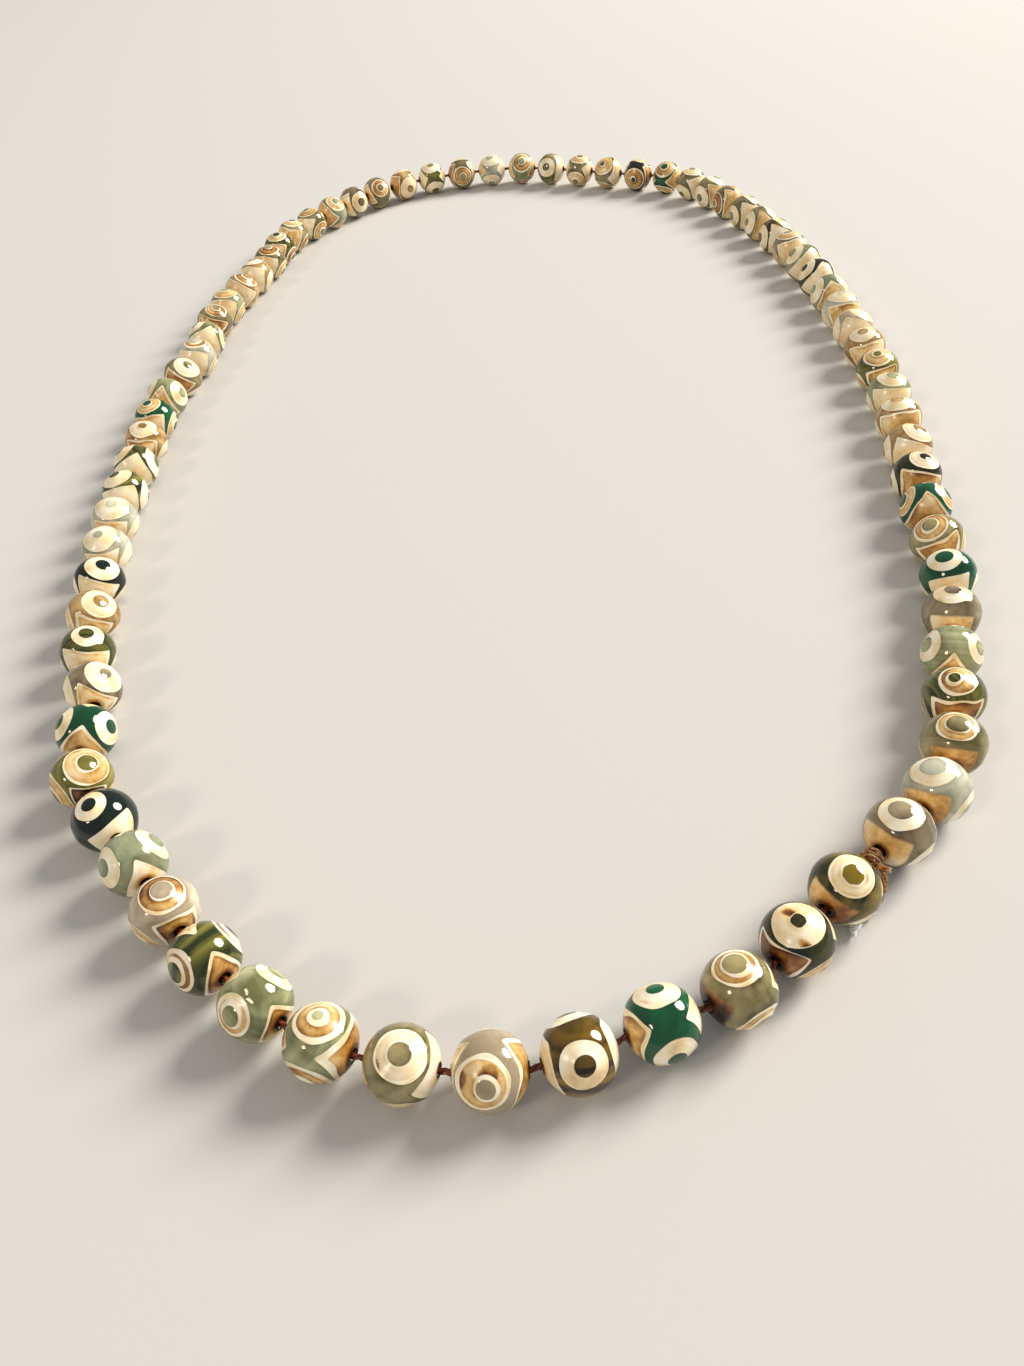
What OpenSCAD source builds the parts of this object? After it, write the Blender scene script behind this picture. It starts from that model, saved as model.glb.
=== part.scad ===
// Necklace of round agate beads on one knotted thread, laid flat as a closed loop.
// The plane z = 0 is the surface that the beads rest on, and the origin is the middle of
// the loop's outline on it. +Y points to the far end of the loop, +X to its right side.

/* [Beads] */
// Diameter of one round bead
bead_d = 8; // [6:0.5:12]
// Smallest spare thread between two beads where they lie evenly
bead_gap = 0.8; // [0.4:0.1:1.6]
// Beads after the knot that have slid back towards it
slid_beads = 14; // [8:1:24]
// Width of the ground rim round each mouth of a bead's hole
mouth_rim = 0.2; // [0.1:0.05:0.4]

/* [Thread] */
// Diameter of the thread
thread_d = 0.8; // [0.5:0.1:1.2]
// Play of the thread inside a bead's hole, on each side
bore_play = 0.3; // [0.15:0.05:0.6]

/* [Closing knot] */
// Turns that the knot takes round the thread
knot_turns = 3; // [2:1:5]
// Play between the knot and the thread that runs through it
knot_play = 0.1; // [0.05:0.05:0.2]
// Play between the knot and the bead on each side of it
knot_end_play = 0.3; // [0.1:0.1:1]
// Lean of the knot's turns from square to the thread, in degrees
turn_lean = 12; // [0:2:20]
// Length of the short end that stands out of the knot
short_end = 1.9; // [1.6:0.1:3]
// Angle that the long end takes round the last bead, in degrees
long_end_sweep = 120; // [60:5:150]
// Play between the long end and the bead that it lies against
end_play = 0.2; // [0.1:0.05:0.5]

/* [Hidden] */
$fn = 48;

// The thread's route on the table, [x, y], from the knot round the right side, the far end,
// the left side and the near end back to the knot
route = [
    [32, -117], [42, -109], [47, -102], [53, -86], [59, -69], [62, -52], [67, -26], [70, -1],
    [71, 40], [67, 75], [60, 100], [52, 114], [36, 124], [20, 133], [6, 137], [-15, 135],
    [-30, 127], [-43, 113], [-52, 98], [-56, 81], [-61, 65], [-65, 48], [-66, 32], [-70, 13],
    [-71, -12], [-71, -36], [-68, -65], [-65, -75], [-64, -84], [-63, -91], [-54, -105],
    [-43, -120], [-29, -132], [-11, -137], [5, -134], [14, -131], [20, -127]
];
// Steps of the smooth curve between two points of the route
curve_steps = 10;

bead_r = bead_d / 2;
thread_r = thread_d / 2;
bore_d = thread_d + 2 * bore_play;
mouth_d = bore_d + 2 * mouth_rim;
// Share of the spare thread that the first of the slid beads has used up
slid_share = 0.63;
// Overlap of a cut past the face that it leaves
cut = 0.5;
// Sides of a swept thread, and of a turn of the knot
thread_sides = 8;
turn_sides = 12;

// Distance from the thread's axis to the middle of a turn of the knot
turn_r = thread_d + knot_play;
// The turns bite into each other, so a turn steps on by less than the thread's diameter
turn_step = 0.6 * thread_d;
turns_run = (knot_turns - 1) * turn_step;
knot_len = turns_run + thread_d + 2 * turn_r * sin(turn_lean);
knot_gap = knot_len + 2 * knot_end_play;
// The short end leans up from the table by this angle
short_end_rise = 20;
// Shares of the long end's sweep by which it lies close to the bead and down on the table
close_share = 0.35;
down_share = 0.6;
// Rings of the long end
end_rings = 14;

// Stone colours that follow one another along the string
stones = ["#8a9a74", "#3f4a26", "#a59a8c", "#1a5040", "#6e5a34", "#9a9b8e", "#2a3a28", "#7d7458"];
thread_colour = "#6a3a1c";
knot_colour = "#b98a52";

// Item i of a closed list, counted on past either end
function item(list, i) = list[(i % len(list) + len(list)) % len(list)];

// Point at share t of the way from route point i to the next, on a curve through all of them
function on_curve(i, t) =
    let (a = item(route, i - 1), b = item(route, i), c = item(route, i + 1), d = item(route, i + 2))
    (2 * b + (c - a) * t + (2 * a - 5 * b + 4 * c - d) * t * t
        + (3 * b - a - 3 * c + d) * t * t * t) / 2;

curve = [for (i = [0 : len(route) - 1], k = [0 : curve_steps - 1]) on_curve(i, k / curve_steps)];
run = [for (i = 0, s = 0; i <= len(curve);
    s = s + norm(item(curve, i + 1) - item(curve, i)), i = i + 1) s];
run_x = [for (i = [0 : len(curve)]) [run[i], item(curve, i)[0]]];
run_y = [for (i = [0 : len(curve)]) [run[i], item(curve, i)[1]]];
thread_len = run[len(curve)];

// Point of the route at length s along it
function along(s) =
    let (r = (s % thread_len + thread_len) % thread_len)
    [lookup(r, run_x), lookup(r, run_y)];

// The first bead follows the knot and the last one ends at it
bead_run = thread_len - knot_gap - bead_d;
bead_count = floor(bead_run / (bead_d + bead_gap)) + 1;
pitch = bead_run / (bead_count - 1);
// The middle one of the slid beads has moved furthest
slide = slid_share * (pitch - bead_d) * slid_beads / PI;
function bead_at(i) =
    (knot_gap + bead_d) / 2 + i * pitch - (i < slid_beads ? slide * sin(180 * i / slid_beads) : 0);

centres = [for (i = [0 : bead_count - 1]) along(bead_at(i))];
xs = [for (c = centres) c[0]];
ys = [for (c = centres) c[1]];
middle = [(min(xs) + max(xs)) / 2, (min(ys) + max(ys)) / 2];

// Direction of the hole of bead i, along the thread
function hole_way(i) =
    let (d = along(bead_at(i) + bead_r) - along(bead_at(i) - bead_r))
    d / norm(d);

// Middle of bead i in the part's frame
function bead_middle(i) = [centres[i][0] - middle[0], centres[i][1] - middle[1], bead_r];

// Mouth of bead i's hole, at its start (end = -1) or at its finish (end = 1)
function bead_mouth(i, end) =
    let (w = hole_way(i))
    bead_middle(i) + end * bead_r * [w[0], w[1], 0];

// The knot fills the gap between the last bead and the first
knot_start = bead_mouth(bead_count - 1, 1);
knot_finish = bead_mouth(0, -1);
knot_middle = (knot_start + knot_finish) / 2;
knot_way = (knot_finish - knot_start) / norm(knot_finish - knot_start);

// Share from 0 to 1 that starts and ends softly
function eased(t) = let (u = min(max(t, 0), 1)) u * u * (3 - 2 * u);

// Rings of points square to a path, one ring for each of its points
function tube_points(path, ways) = [
    for (i = [0 : len(path) - 1])
        let (side = cross(ways[i], [0, 0, 1]), n = side / norm(side), up = cross(n, ways[i]))
        for (k = [0 : thread_sides - 1])
            let (a = 360 * k / thread_sides)
            path[i] + thread_r * (cos(a) * n + sin(a) * up)
];

// Wall of a tube between its rings, the last of which may join the first
function tube_walls(rings, closed) = [
    for (i = [0 : rings - (closed ? 1 : 2)], k = [0 : thread_sides - 1])
        let (j = (i + 1) % rings, m = (k + 1) % thread_sides,
            a = i * thread_sides + k, b = i * thread_sides + m,
            c = j * thread_sides + m, d = j * thread_sides + k)
        for (half = [0, 1])
            half == 0 ? [a, c, b] : [a, d, c]
];

// One drilled bead, its hole along Z, with a rim ground at 45 degrees round each mouth
module bead() {
    mouth_z = sqrt(bead_r * bead_r - mouth_d * mouth_d / 4);
    difference() {
        sphere(d = bead_d);
        cylinder(d = bore_d, h = bead_d + 2 * cut, center = true);
        for (end = [0, 1])
            mirror([0, 0, end]) translate([0, 0, mouth_z - mouth_rim])
                cylinder(d1 = bore_d, d2 = mouth_d + 2 * cut, h = mouth_rim + cut);
    }
}

module bead_string() {
    for (i = [0 : bead_count - 1]) {
        w = hole_way(i);
        color(item(stones, i)) translate(bead_middle(i))
            rotate([0, 0, atan2(w[1], w[0])]) rotate([0, 90, 0]) bead();
    }
}

// The thread runs straight through each bead and bends in the gaps
module thread() {
    path = [for (i = [0 : bead_count - 1], end = [-1, 1]) bead_mouth(i, end)];
    ways = [for (i = [0 : bead_count - 1], end = [-1, 1]) concat(hole_way(i), 0)];
    color(thread_colour)
        polyhedron(tube_points(path, ways), tube_walls(len(path), true));
}

// Turns of the knot round the thread, which runs along X, fused to a sleeve
module knot_turns_round_thread() {
    for (i = [0 : knot_turns - 1])
        translate([i * turn_step - turns_run / 2, 0, 0])
            rotate([0, 0, (i % 2 == 0 ? 1 : -1) * turn_lean]) rotate([0, 90, 0])
                rotate_extrude($fn = turn_sides)
                    translate([turn_r, 0]) circle(r = thread_r, $fn = thread_sides);
    rotate([0, 90, 0])
        cylinder(r = turn_r, h = turns_run + thread_r, center = true, $fn = turn_sides);
}

// The short end stands out of the knot on the loop's outer side
module short_thread_end() {
    rotate([90 - short_end_rise, 0, 0])
        translate([0, 0, turn_r]) cylinder(r = thread_r, h = short_end, $fn = thread_sides);
}

// The long end drops from the knot round the outer side of the last bead to the table
module long_thread_end() {
    last = bead_middle(bead_count - 1);
    first_reach = norm(knot_middle - last);
    last_reach = bead_r + thread_r + end_play;
    knot_angle = atan2(knot_middle[1] - last[1], knot_middle[0] - last[0]);
    first_angle = asin(turn_r / first_reach);
    path = [
        for (i = [0 : end_rings])
            let (t = i / end_rings,
                reach = first_reach + (last_reach - first_reach) * eased(t / close_share),
                drop = (bead_r - thread_r) * eased(t / down_share),
                out = sqrt(reach * reach - drop * drop),
                a = knot_angle - first_angle - t * (long_end_sweep - first_angle))
            last + [out * cos(a), out * sin(a), -drop]
    ];
    ways = [
        for (i = [0 : end_rings])
            let (w = path[min(i + 1, end_rings)] - path[max(i - 1, 0)])
            w / norm(w)
    ];
    caps = [
        [for (k = [thread_sides - 1 : -1 : 0]) k],
        [for (k = [0 : thread_sides - 1]) end_rings * thread_sides + k]
    ];
    polyhedron(tube_points(path, ways), concat(tube_walls(end_rings + 1, false), caps));
}

module closing_knot() {
    w = knot_way;
    color(knot_colour) difference() {
        union() {
            translate(knot_middle) rotate([0, 0, atan2(w[1], w[0])]) {
                knot_turns_round_thread();
                short_thread_end();
            }
            long_thread_end();
        }
        translate(knot_middle) rotate([0, 0, atan2(w[1], w[0])]) rotate([0, 90, 0])
            cylinder(r = thread_r + knot_play, h = knot_len + 2 * cut, center = true, $fn = turn_sides);
    }
}

bead_string();
thread();
closing_knot();
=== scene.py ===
"""Dresses the necklace: etched agate beads on one knotted thread, on a pale studio table.

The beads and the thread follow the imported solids, whose frame is in metres. Sizes below are in
millimetres, as a bead maker gives them, and turned into metres where a mesh is made. On a bead,
a turn goes round its hole and a rise goes along it.
"""
import logging
import math
from dataclasses import dataclass, field, fields
from enum import Enum

import bmesh
import bpy
import numpy as np
from mathutils import Matrix, Vector


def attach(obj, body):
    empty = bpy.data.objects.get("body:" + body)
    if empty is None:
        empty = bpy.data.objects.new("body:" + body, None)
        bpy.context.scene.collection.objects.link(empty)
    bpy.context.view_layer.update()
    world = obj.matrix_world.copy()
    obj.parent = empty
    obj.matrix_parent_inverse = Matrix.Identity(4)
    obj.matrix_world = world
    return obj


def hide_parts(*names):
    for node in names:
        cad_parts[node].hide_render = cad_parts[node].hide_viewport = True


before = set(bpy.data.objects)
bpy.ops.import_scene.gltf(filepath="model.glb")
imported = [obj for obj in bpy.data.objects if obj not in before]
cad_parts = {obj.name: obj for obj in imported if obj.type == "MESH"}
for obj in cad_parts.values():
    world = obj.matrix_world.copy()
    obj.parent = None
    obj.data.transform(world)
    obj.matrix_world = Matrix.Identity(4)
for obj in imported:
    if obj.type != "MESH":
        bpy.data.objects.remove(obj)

Tree = bpy.types.NodeTree
Socket = bpy.types.NodeSocket

MM = 0.001
# Points this close, in metres, are welded, and radii and heights this close are the same
SAME_POINT = 1e-7
SAME_HEIGHT = 1e-6
# Degrees that no angle on a bead exceeds
HALF_TURN = 180.0
# Share of a tip's fraying reach over which it is frayed through
FRAYED_THROUGH = 0.3
UP = np.array([0.0, 0.0, 1.0])
BODY = "root"

log = logging.getLogger("necklace")
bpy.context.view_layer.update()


def linear(hex_colour: str) -> tuple[float, float, float, float]:
    """Turns an sRGB hex colour into linear RGBA, with the numbers of the sRGB standard.

    Args:
        hex_colour: the colour as "#rrggbb".

    Returns:
        Red, green, blue and an alpha of 1, linear.
    """
    channels = [int(hex_colour[i:i + 2], 16) / 255 for i in (1, 3, 5)]
    lin = [c / 12.92 if c <= 0.04045 else ((c + 0.055) / 1.055) ** 2.4 for c in channels]
    return (*lin, 1.0)


def add_node(tree: Tree, kind: str, settings: dict[str, object] | None = None,
             values: dict[str | int, object] | None = None,
             links: dict[str | int, Socket] | None = None,
             stops: tuple[tuple[float, str], ...] = ()) -> bpy.types.Node:
    """Adds one node to a tree.

    Args:
        tree: the tree that gets the node.
        kind: the node's type, without "ShaderNode".
        settings: properties of the node by name.
        values: constants on its input sockets, by the socket's name or number.
        links: output sockets of other nodes, by the input socket's name or number.
        stops: position and sRGB hex colour of each stop of a colour ramp, in order.

    Returns:
        The new node.
    """
    new = tree.nodes.new("ShaderNode" + kind)
    for name, value in (settings or {}).items():
        setattr(new, name, value)
    for name, value in (values or {}).items():
        new.inputs[name].default_value = value
    for name, socket in (links or {}).items():
        tree.links.new(socket, new.inputs[name])
    if stops:
        elements = new.color_ramp.elements
        while len(elements) < len(stops):
            elements.new(1.0)
        for element, (place, colour) in zip(elements, stops):
            element.position = place
            element.color = linear(colour)
    return new


def new_material(name: str,
                 constants: dict[str, object]) -> tuple[bpy.types.Material, Tree, bpy.types.Node]:
    """Makes a node material with one shader.

    Args:
        name: the material's name.
        constants: what is the same all over the surface, by the name of the shader's socket.

    Returns:
        The material, its tree and its shader, which is linked to the output.
    """
    material = bpy.data.materials.new(name)
    material.use_nodes = True
    tree = material.node_tree
    tree.nodes.clear()
    shader = add_node(tree, "BsdfPrincipled", values=constants)
    add_node(tree, "OutputMaterial", links={"Surface": shader.outputs["BSDF"]})
    return material, tree, shader


def link_piece(name: str, mesh: bpy.types.Mesh, material: bpy.types.Material) -> bpy.types.Object:
    """Puts a finished mesh into the scene as a piece of the necklace.

    Args:
        name: the piece's name.
        mesh: its mesh, already in place.
        material: its finish.

    Returns:
        The new object, which rides on the necklace's body.
    """
    mesh.materials.clear()
    mesh.materials.append(material)
    mesh.shade_smooth()
    piece = bpy.data.objects.new(name, mesh)
    bpy.context.scene.collection.objects.link(piece)
    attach(piece, BODY)
    return piece


def corners_of(mesh: bpy.types.Mesh) -> np.ndarray:
    """Reads a mesh's vertices.

    Args:
        mesh: the mesh.

    Returns:
        One row of x, y and z for each vertex.
    """
    points = np.empty(len(mesh.vertices) * 3)
    mesh.vertices.foreach_get("co", points)
    return points.reshape(-1, 3)


def store(mesh: bpy.types.Mesh, name: str, values: np.ndarray) -> None:
    """Gives a mesh one number for each vertex, under a name that its finish reads."""
    kept = mesh.attributes.new(name, "FLOAT", "POINT")
    kept.data.foreach_set("value", values.astype(np.float32))


def smooth_step(low: float, high: float, value: np.ndarray) -> np.ndarray:
    """Rises softly from 0 at low to 1 at high."""
    t = np.clip((value - low) / (high - low), 0.0, 1.0)
    return t * t * (3.0 - 2.0 * t)


def ripple(rng: np.random.Generator, ways: np.ndarray, waves: float,
           count: int = 7) -> np.ndarray:
    """Soft random unevenness over a ball, from a few crossing waves.

    Args:
        rng: the seeded source of chance.
        ways: directions from the ball's middle, one in each row.
        waves: how many radians the waves turn over one radius.
        count: number of waves.

    Returns:
        A value of about -1 to 1 for each direction.
    """
    total = np.zeros(len(ways))
    for _ in range(count):
        axis = rng.normal(size=3)
        axis *= waves / np.linalg.norm(axis)
        total += np.sin(ways @ axis + rng.uniform(0.0, 2.0 * math.pi))
    return total / math.sqrt(count)


class Stone(Enum):
    """Ground colours of the agate, from pale jade to nearly black teal."""

    JADE = ("#6c7048", "#b6b992", 0.35, 0.13)
    GREY_JADE = ("#939480", "#cbccba", 0.15, 0.1)
    SEA_JADE = ("#6a7051", "#a1a98a", 0.2, 0.05)
    GREY_OLIVE = ("#605730", "#aaa076", 0.25, 0.14)
    SMOKE = ("#a09279", "#dad1bd", 0.1, 0.06)
    OLIVE = ("#26310b", "#7b7830", 0.75, 0.07)
    MOSS = ("#4a4a14", "#9c9444", 0.3, 0.07)
    OLIVE_JADE = ("#564e2c", "#a89d70", 0.3, 0.07)
    DARK_OLIVE = ("#0c1304", "#3b3a0c", 0.3, 0.03)
    GOLD_OLIVE = ("#191f07", "#7c6a17", 0.3, 0.03)
    TEAL = ("#044225", "#0d633b", 0.2, 0.04)
    DARK_TEAL = ("#010d08", "#072518", 0.1, 0.02)
    AMBER = ("#241403", "#8a6c12", 0.6, 0.03)
    BROWN_GREY = ("#574b33", "#9f9276", 0.3, 0.05)
    HONEY = ("#8a6a38", "#cdb07a", 0.4, 0.11)

    def __init__(self, dark: str, light: str, banding: float, far_share: float) -> None:
        """Names a stone's numbers.

        Args:
            dark: sRGB hex colour where the dye lies deep.
            light: sRGB hex colour where it lies thin.
            banding: how much of the change between the two follows the agate's bands.
            far_share: share of this stone among the beads that are too far off to make out.
        """
        self.dark = dark
        self.light = light
        self.banding = banding
        self.far_share = far_share


@dataclass(frozen=True)
class EtchedPattern:
    """The pattern at each vertex of a bead, which the mesh carries and the finish reads.

    Attributes:
        mark_depth: millimetres inside the edge of a mark, negative on the ground.
        stain_depth: the same within a mark's cream rim.
        stain: how brown the mark is there, from 0 to 1.
        layer: millimetres across the agate's bands.
        ring: millimetres from the middle of the nearest eye.
        glow: how much lighter the ground is there, with painted shade along the marks' edges taken
            off.
    """

    mark_depth: np.ndarray
    stain_depth: np.ndarray
    stain: np.ndarray
    layer: np.ndarray
    ring: np.ndarray
    glow: np.ndarray


@dataclass(frozen=True)
class EtchedAgate:
    """Dyed and polished agate whose pattern was etched cream and stained with brown.

    Roughness and clearness are given for the polished ground and for the etched marks.
    """

    stone: Stone
    cream_stops: tuple[tuple[float, str], ...] = (
        (0.28, "#dcba88"), (0.42, "#f4e0b1"), (0.58, "#fdf5de"))
    stain_stops: tuple[tuple[float, str], ...] = (
        (0.0, "#f2dfb2"), (0.2, "#dfba78"), (0.42, "#b0803a"), (0.62, "#7c4a1c"),
        (0.82, "#48250c"), (1.0, "#1e0f06"))
    # Levels of the clouds and bands at which the dye lies deep, and at which it lies thin
    dark_at: float = 0.36
    light_at: float = 0.64
    # Clouds of dye are about half a bead wide
    cloud_mm: float = 4.6
    # Agate's bands are 0.1 to 2 mm thick. The thin ones would not show, so all are thick ones.
    band_mm: float = 1.3
    # Brown stain takes in blotches of about a millimetre, as the stone's grain drinks it
    mottle_mm: float = 1.0
    mottle_swing: float = 0.13
    # The etched cream is thicker and thinner in patches of a quarter of a bead
    tint_mm: float = 2.2
    # A fine brush leaves strokes of about 0.05 mm round an eye, drawn coarser so that they show
    stroke_mm: float = 0.2
    stroke_share: float = 0.2
    # Acid leaves pits of about 0.02 mm, drawn coarser so that they show as a duller gloss
    pit_mm: float = 0.22
    pit_depth_mm: float = 0.03
    pit_strength: float = 0.2
    # Acid creeps this far to each side of a mark's edge
    edge_mm: float = 0.035
    # A stain fades in over this stretch of its depth, and between these strengths
    stain_from_mm: float = -0.04
    stain_full_mm: float = 0.09
    stain_shows: float = 0.02
    stain_covers: float = 0.2
    # Polish leaves the ground like glass and acid leaves the marks satin. Light goes into the
    # ground, but hardly into the marks.
    roughness: tuple[float, float] = (0.07, 0.24)
    clearness: tuple[float, float] = (1.0, 0.1)
    # Agate's own index, and how far light spreads in it by colour
    ior: float = 1.54
    scatter: tuple[float, float, float] = (1.0, 0.95, 0.85)
    scatter_mm: float = 4.0

    def build(self) -> bpy.types.Material:
        """Builds the finish round the pattern that a bead's mesh carries.

        Returns:
            The stone's material.
        """
        # Polished agate lets light some millimetres in, so the eye gets a deep, soft ground
        # under small hard glints. Acid closes the surface, so the marks look flat and chalky.
        material, tree, shader = new_material("etched_agate_" + self.stone.name.lower(), {
            "IOR": self.ior, "Subsurface Radius": self.scatter,
            "Subsurface Scale": self.scatter_mm * MM})
        place = add_node(tree, "TexCoord").outputs["Object"]
        read = {part.name: add_node(tree, "Attribute", {"attribute_name": part.name})
                .outputs["Fac"] for part in fields(EtchedPattern)}
        strokes = add_node(tree, "TexNoise", {"noise_dimensions": "1D"}, values={
            "Scale": 1.0 / self.stroke_mm, "Detail": 1.0}, links={"W": read["ring"]}).outputs["Fac"]
        mark_share = add_node(tree, "MapRange", {"interpolation_type": "SMOOTHSTEP"}, values={
            "From Min": -self.edge_mm, "From Max": self.edge_mm},
            links={"Value": read["mark_depth"]}).outputs["Result"]

        colour = add_node(tree, "Mix", {"data_type": "RGBA"}, links={
            0: mark_share, 6: self.ground(tree, place, read),
            7: self.marks(tree, place, read, strokes)}).outputs[2]
        tree.links.new(colour, shader.inputs["Base Color"])
        for socket, (on_ground, on_mark) in (("Roughness", self.roughness),
                                             ("Subsurface Weight", self.clearness)):
            share = add_node(tree, "MapRange", values={"To Min": on_ground, "To Max": on_mark},
                             links={"Value": mark_share})
            tree.links.new(share.outputs["Result"], shader.inputs[socket])

        pits = add_node(tree, "TexNoise", values={
            "Scale": 1.0 / (self.pit_mm * MM), "Detail": 2.0}, links={"Vector": place})
        grooves = add_node(tree, "Math", {"operation": "ADD"},
                           links={0: pits.outputs["Fac"], 1: strokes})
        rough = add_node(tree, "Math", {"operation": "MULTIPLY"},
                         links={0: grooves.outputs[0], 1: mark_share})
        bump = add_node(tree, "Bump", values={
            "Strength": self.pit_strength, "Distance": self.pit_depth_mm * MM},
            links={"Height": rough.outputs[0]})
        tree.links.new(bump.outputs["Normal"], shader.inputs["Normal"])
        return material

    def ground(self, tree: Tree, place: Socket, read: dict[str, Socket]) -> Socket:
        """Colours the dyed ground with clouds, and with bands across the stone's layers.

        Args:
            tree: the material's tree.
            place: the point in the necklace's frame.
            read: the etched pattern at the point, by name.

        Returns:
            The ground's colour.
        """
        clouds = add_node(tree, "TexNoise", values={
            "Scale": 1.0 / (self.cloud_mm * MM), "Detail": 3.0, "Roughness": 0.55,
            "Distortion": 0.6}, links={"Vector": place})
        bands = add_node(tree, "TexNoise", {"noise_dimensions": "1D"}, values={
            "Scale": 1.0 / self.band_mm, "Detail": 2.0}, links={"W": read["layer"]})
        dye = add_node(tree, "Mix", {"data_type": "FLOAT"}, values={0: self.stone.banding},
                       links={2: clouds.outputs["Fac"], 3: bands.outputs["Fac"]})
        # The pupils' lightening, the ground's darker tone and the painted shade along the marks'
        # edges come in here
        lit = add_node(tree, "Math", {"operation": "ADD", "use_clamp": True},
                       links={0: dye.outputs[0], 1: read["glow"]})
        return add_node(tree, "ValToRGB", links={"Fac": lit.outputs[0]}, stops=(
            (self.dark_at, self.stone.dark), (self.light_at, self.stone.light))).outputs["Color"]

    def marks(self, tree: Tree, place: Socket, read: dict[str, Socket],
              strokes: Socket) -> Socket:
        """Colours the etched marks cream, and brown where the stain took.

        Args:
            tree: the material's tree.
            place: the point in the necklace's frame.
            read: the etched pattern at the point, by name.
            strokes: the brush's strokes round the eyes.

        Returns:
            The marks' colour.
        """
        tint = add_node(tree, "TexNoise", values={
            "Scale": 1.0 / (self.tint_mm * MM), "Detail": 3.0}, links={"Vector": place})
        brushed = add_node(tree, "Mix", {"data_type": "FLOAT"}, values={0: self.stroke_share},
                           links={2: tint.outputs["Fac"], 3: strokes})
        cream = add_node(tree, "ValToRGB", links={"Fac": brushed.outputs[0]},
                         stops=self.cream_stops)
        mottle = add_node(tree, "TexNoise", values={
            "Scale": 1.0 / (self.mottle_mm * MM), "Detail": 4.0, "Roughness": 0.6},
            links={"Vector": place})
        patchy = add_node(tree, "MapRange", values={
            "From Min": 0.3, "From Max": 0.7, "To Min": -self.mottle_swing,
            "To Max": self.mottle_swing}, links={"Value": mottle.outputs["Fac"]})
        stained = add_node(tree, "Math", {"operation": "ADD", "use_clamp": True},
                           links={0: read["stain"], 1: patchy.outputs["Result"]})
        brown = add_node(tree, "ValToRGB", links={"Fac": stained.outputs[0]},
                         stops=self.stain_stops)
        within_rim = add_node(tree, "MapRange", {"interpolation_type": "SMOOTHSTEP"}, values={
            "From Min": self.stain_from_mm, "From Max": self.stain_full_mm},
            links={"Value": read["stain_depth"]})
        has_stain = add_node(tree, "MapRange", values={
            "From Min": self.stain_shows, "From Max": self.stain_covers},
            links={"Value": read["stain"]})
        brown_share = add_node(tree, "Math", {"operation": "MULTIPLY"}, links={
            0: within_rim.outputs["Result"], 1: has_stain.outputs["Result"]})
        return add_node(tree, "Mix", {"data_type": "RGBA"}, links={
            0: brown_share.outputs[0], 6: cream.outputs["Color"],
            7: brown.outputs["Color"]}).outputs[2]


@dataclass(frozen=True)
class NylonThread:
    """Twisted nylon thread: strands that let the light through, and a pale, frayed tip.

    Attributes:
        name: the material's name.
        dark: sRGB hex colour between the fibres: the thread's own brown, darkened by painted shade
            in the grooves.
        light: sRGB hex colour on them.
        clear: how much light goes straight through, from 0 to 1.
        rough: the shader's roughness.
        tip: sRGB hex colour where the thread is frayed.
    """

    name: str
    dark: str
    light: str
    clear: float = 0.0
    rough: float = 0.28
    tip: str = "#ece6da"
    # Levels of the fibres' noise that are between them, in painted shade, and on them
    dark_at: float = 0.35
    light_at: float = 0.65
    # A fibre is about 0.03 mm thick, too fine to show, so bundles of them are drawn
    fibre_mm: float = 0.4
    groove_mm: float = 0.04
    # Strength of the fibres' relief, and how much of it goes where the thread is clear
    relief: float = 0.25
    relief_lost: float = 0.2
    # Nylon's own index, and how far light spreads in a strand by colour
    ior: float = 1.53
    scatter_weight: float = 0.4
    scatter: tuple[float, float, float] = (1.0, 0.6, 0.3)
    scatter_mm: float = 0.3

    def build(self) -> bpy.types.Material:
        """Builds the finish, which turns pale where the mesh says that it is frayed.

        Returns:
            The thread's material.
        """
        # Waxed nylon lets some light in and shines along its strands, so the eye gets a warm
        # glint on each twist. Broken fibres scatter all light, so a tip looks whitish and dry.
        material, tree, shader = new_material(self.name, {
            "Roughness": self.rough, "IOR": self.ior, "Transmission Weight": self.clear,
            "Subsurface Weight": self.scatter_weight, "Subsurface Radius": self.scatter,
            "Subsurface Scale": self.scatter_mm * MM})
        place = add_node(tree, "TexCoord").outputs["Object"]
        frayed = add_node(tree, "Attribute", {"attribute_name": "frayed"}).outputs["Fac"]
        fibres = add_node(tree, "TexNoise", values={
            "Scale": 1.0 / (self.fibre_mm * MM), "Detail": 3.0},
            links={"Vector": place}).outputs["Fac"]
        # The colour follows the fibres' relief, so the grooves get painted shade over the thread's
        # own tone
        strand = add_node(tree, "ValToRGB", links={"Fac": fibres}, stops=(
            (self.dark_at, self.dark), (self.light_at, self.light)))
        colour = add_node(tree, "Mix", {"data_type": "RGBA"}, values={7: linear(self.tip)},
                          links={0: frayed, 6: strand.outputs["Color"]})
        tree.links.new(colour.outputs[2], shader.inputs["Base Color"])
        bump = add_node(tree, "Bump", values={
            "Strength": self.relief - self.relief_lost * self.clear,
            "Distance": self.groove_mm * MM}, links={"Height": fibres})
        tree.links.new(bump.outputs["Normal"], shader.inputs["Normal"])
        return material


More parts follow.
